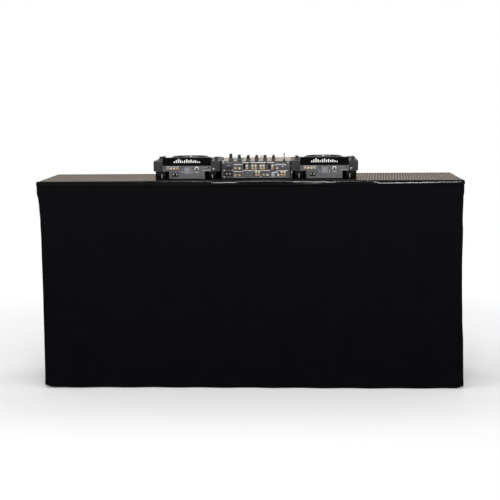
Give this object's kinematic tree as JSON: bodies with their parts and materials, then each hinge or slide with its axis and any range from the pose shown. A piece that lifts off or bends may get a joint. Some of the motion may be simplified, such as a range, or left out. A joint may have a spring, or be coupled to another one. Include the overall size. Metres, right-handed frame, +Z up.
{
  "type": "dj booth",
  "caption": "DJ table on tube legs with a black cloth skirt, carrying media players with jog wheels beside a channel mixer with knobs and faders.",
  "frame": {"origin": "on the floor under the middle of the table", "axes": "+Z up, +X to the right seen from the audience, -Y towards the audience, +Y towards the DJ"},
  "size_m": [2.0036, 0.6018, 1.103],
  "materials": {
    "phenolic_plywood": "phenolic film with a fine mesh pattern",
    "black_frame_paint": "black powder coat",
    "leg_aluminium": "mill finish tube",
    "cap_rubber": "matt black",
    "clamp_plastic": "black moulded knob",
    "edge_plastic": "glossy black strip",
    "skirt_cloth": "matt black cloth",
    "tape_fabric": "black hook tape",
    "case_steel": "black painted sheet",
    "case_plastic": "dark grey satin",
    "panel_paint": "grey painted sheet",
    "hood_plastic": "gloss black",
    "screen_plastic": "clear lens over a dark screen",
    "hub_plastic": "gloss black",
    "foot_rubber": "black",
    "drive_plastic": "black",
    "circuit_laminate": "green solder mask",
    "supply_aluminium": "bare can",
    "mixer_paint": "dark grey paint",
    "mixer_plate_paint": "dark satin paint",
    "socket_brass": "plated",
    "inlet_plastic": "black",
    "screw_steel": "plated",
    "pot_plastic": "black",
    "key_rubber": "grey silicone",
    "jog_plastic": "dark grey with a silver rim",
    "knob_plastic": "black",
    "button_plastic": "silver grey with a lit ring",
    "lever_chrome": "bright"
  },
  "bodies": {
    "booth": {"table_board": "phenolic_plywood", "table_frame": "black_frame_paint", "leg_sockets": "black_frame_paint", "table_legs": "leg_aluminium", "leg_end_caps": "cap_rubber", "leg_clamp_screws": "clamp_plastic", "edge_strip": "edge_plastic", "skirt_panels": "skirt_cloth", "skirt_hook_tape": "tape_fabric", "player_bottom_cases": "case_steel", "left_player_top_case": "case_plastic", "right_player_top_case": "case_plastic", "player_rear_panels": "panel_paint", "player_display_hoods": "hood_plastic", "player_screens": "screen_plastic", "jog_hubs": "hub_plastic", "equipment_feet": "foot_rubber", "disc_drives": "drive_plastic", "circuit_boards": "circuit_laminate", "power_supplies": "supply_aluminium", "mixer_case": "mixer_paint", "mixer_top_plate": "mixer_plate_paint", "mixer_rear_panel": "panel_paint", "phono_sockets": "socket_brass", "power_inlets": "inlet_plastic", "xlr_sockets": "inlet_plastic", "panel_screws": "screw_steel", "knob_pots": "pot_plastic", "fader_tracks": "pot_plastic", "key_mats": "key_rubber"},
    "left_jog_wheel": {"left_jog_wheel": "jog_plastic"},
    "left_browse_knob": {"left_browse_knob": "knob_plastic"},
    "left_tempo_fader": {"left_tempo_fader": "knob_plastic"},
    "left_play_button": {"left_play_button": "button_plastic"},
    "left_cue_button": {"left_cue_button": "button_plastic"},
    "right_jog_wheel": {"right_jog_wheel": "jog_plastic"},
    "right_browse_knob": {"right_browse_knob": "knob_plastic"},
    "right_tempo_fader": {"right_tempo_fader": "knob_plastic"},
    "right_play_button": {"right_play_button": "button_plastic"},
    "right_cue_button": {"right_cue_button": "button_plastic"},
    "trim_knob_1": {"trim_knob_1": "knob_plastic"},
    "high_knob_1": {"high_knob_1": "knob_plastic"},
    "low_knob_1": {"low_knob_1": "knob_plastic"},
    "channel_fader_1": {"channel_fader_1": "knob_plastic"},
    "trim_knob_2": {"trim_knob_2": "knob_plastic"},
    "high_knob_2": {"high_knob_2": "knob_plastic"},
    "low_knob_2": {"low_knob_2": "knob_plastic"},
    "channel_fader_2": {"channel_fader_2": "knob_plastic"},
    "trim_knob_3": {"trim_knob_3": "knob_plastic"},
    "high_knob_3": {"high_knob_3": "knob_plastic"},
    "low_knob_3": {"low_knob_3": "knob_plastic"},
    "channel_fader_3": {"channel_fader_3": "knob_plastic"},
    "trim_knob_4": {"trim_knob_4": "knob_plastic"},
    "high_knob_4": {"high_knob_4": "knob_plastic"},
    "low_knob_4": {"low_knob_4": "knob_plastic"},
    "channel_fader_4": {"channel_fader_4": "knob_plastic"},
    "master_knob": {"master_knob": "knob_plastic"},
    "booth_knob": {"booth_knob": "knob_plastic"},
    "crossfader": {"crossfader": "knob_plastic"},
    "mic_switch": {"mic_switch": "lever_chrome"}
  },
  "joints": [
    {"name": "left_jog_wheel_move", "type": "hinge", "parent": "booth", "child": "left_jog_wheel", "pos_m": [-0.302, 0.09, 1.068], "axis": [0, 0, 1], "continuous": true},
    {"name": "left_browse_knob_move", "type": "hinge", "parent": "booth", "child": "left_browse_knob", "pos_m": [-0.432, -0.065, 1.068], "axis": [0, 0, 1], "continuous": true},
    {"name": "left_tempo_fader_move", "type": "slide", "parent": "booth", "child": "left_tempo_fader", "axis": [0, 1, 0], "range_m": [-0.05, 0.05]},
    {"name": "left_play_button_move", "type": "slide", "parent": "booth", "child": "left_play_button", "axis": [0, 0, -1], "range_m": [0, 0.0015], "stiffness_N_per_m": 800, "springref_m": -0.0015},
    {"name": "left_cue_button_move", "type": "slide", "parent": "booth", "child": "left_cue_button", "axis": [0, 0, -1], "range_m": [0, 0.0015], "stiffness_N_per_m": 800, "springref_m": -0.0015},
    {"name": "right_jog_wheel_move", "type": "hinge", "parent": "booth", "child": "right_jog_wheel", "pos_m": [0.352, 0.09, 1.068], "axis": [0, 0, 1], "continuous": true},
    {"name": "right_browse_knob_move", "type": "hinge", "parent": "booth", "child": "right_browse_knob", "pos_m": [0.222, -0.065, 1.068], "axis": [0, 0, 1], "continuous": true},
    {"name": "right_tempo_fader_move", "type": "slide", "parent": "booth", "child": "right_tempo_fader", "axis": [0, 1, 0], "range_m": [-0.05, 0.05]},
    {"name": "right_play_button_move", "type": "slide", "parent": "booth", "child": "right_play_button", "axis": [0, 0, -1], "range_m": [0, 0.0015], "stiffness_N_per_m": 800, "springref_m": -0.0015},
    {"name": "right_cue_button_move", "type": "slide", "parent": "booth", "child": "right_cue_button", "axis": [0, 0, -1], "range_m": [0, 0.0015], "stiffness_N_per_m": 800, "springref_m": -0.0015},
    {"name": "trim_knob_1_move", "type": "hinge", "parent": "booth", "child": "trim_knob_1", "pos_m": [0.109, -0.11, 1.0665], "axis": [0, 0, 1], "range_deg": [-150, 150]},
    {"name": "high_knob_1_move", "type": "hinge", "parent": "booth", "child": "high_knob_1", "pos_m": [0.109, -0.065, 1.0665], "axis": [0, 0, 1], "range_deg": [-150, 150]},
    {"name": "low_knob_1_move", "type": "hinge", "parent": "booth", "child": "low_knob_1", "pos_m": [0.109, -0.02, 1.0665], "axis": [0, 0, 1], "range_deg": [-150, 150]},
    {"name": "channel_fader_1_move", "type": "slide", "parent": "booth", "child": "channel_fader_1", "axis": [0, 1, 0], "range_m": [-0.03, 0.03]},
    {"name": "trim_knob_2_move", "type": "hinge", "parent": "booth", "child": "trim_knob_2", "pos_m": [0.0684, -0.11, 1.0665], "axis": [0, 0, 1], "range_deg": [-150, 150]},
    {"name": "high_knob_2_move", "type": "hinge", "parent": "booth", "child": "high_knob_2", "pos_m": [0.0684, -0.065, 1.0665], "axis": [0, 0, 1], "range_deg": [-150, 150]},
    {"name": "low_knob_2_move", "type": "hinge", "parent": "booth", "child": "low_knob_2", "pos_m": [0.0684, -0.02, 1.0665], "axis": [0, 0, 1], "range_deg": [-150, 150]},
    {"name": "channel_fader_2_move", "type": "slide", "parent": "booth", "child": "channel_fader_2", "axis": [0, 1, 0], "range_m": [-0.03, 0.03]},
    {"name": "trim_knob_3_move", "type": "hinge", "parent": "booth", "child": "trim_knob_3", "pos_m": [0.0278, -0.11, 1.0665], "axis": [0, 0, 1], "range_deg": [-150, 150]},
    {"name": "high_knob_3_move", "type": "hinge", "parent": "booth", "child": "high_knob_3", "pos_m": [0.0278, -0.065, 1.0665], "axis": [0, 0, 1], "range_deg": [-150, 150]},
    {"name": "low_knob_3_move", "type": "hinge", "parent": "booth", "child": "low_knob_3", "pos_m": [0.0278, -0.02, 1.0665], "axis": [0, 0, 1], "range_deg": [-150, 150]},
    {"name": "channel_fader_3_move", "type": "slide", "parent": "booth", "child": "channel_fader_3", "axis": [0, 1, 0], "range_m": [-0.03, 0.03]},
    {"name": "trim_knob_4_move", "type": "hinge", "parent": "booth", "child": "trim_knob_4", "pos_m": [-0.0128, -0.11, 1.0665], "axis": [0, 0, 1], "range_deg": [-150, 150]},
    {"name": "high_knob_4_move", "type": "hinge", "parent": "booth", "child": "high_knob_4", "pos_m": [-0.0128, -0.065, 1.0665], "axis": [0, 0, 1], "range_deg": [-150, 150]},
    {"name": "low_knob_4_move", "type": "hinge", "parent": "booth", "child": "low_knob_4", "pos_m": [-0.0128, -0.02, 1.0665], "axis": [0, 0, 1], "range_deg": [-150, 150]},
    {"name": "channel_fader_4_move", "type": "slide", "parent": "booth", "child": "channel_fader_4", "axis": [0, 1, 0], "range_m": [-0.03, 0.03]},
    {"name": "master_knob_move", "type": "hinge", "parent": "booth", "child": "master_knob", "pos_m": [-0.0534, -0.11, 1.0665], "axis": [0, 0, 1], "range_deg": [-150, 150]},
    {"name": "booth_knob_move", "type": "hinge", "parent": "booth", "child": "booth_knob", "pos_m": [-0.094, -0.11, 1.0665], "axis": [0, 0, 1], "range_deg": [-150, 150]},
    {"name": "crossfader_move", "type": "slide", "parent": "booth", "child": "crossfader", "axis": [1, 0, 0], "range_m": [-0.0225, 0.0225]},
    {"name": "mic_switch_move", "type": "hinge", "parent": "booth", "child": "mic_switch", "pos_m": [0.161, -0.11, 1.0695], "axis": [1, 0, 0], "range_deg": [-12, 12]}
  ]
}
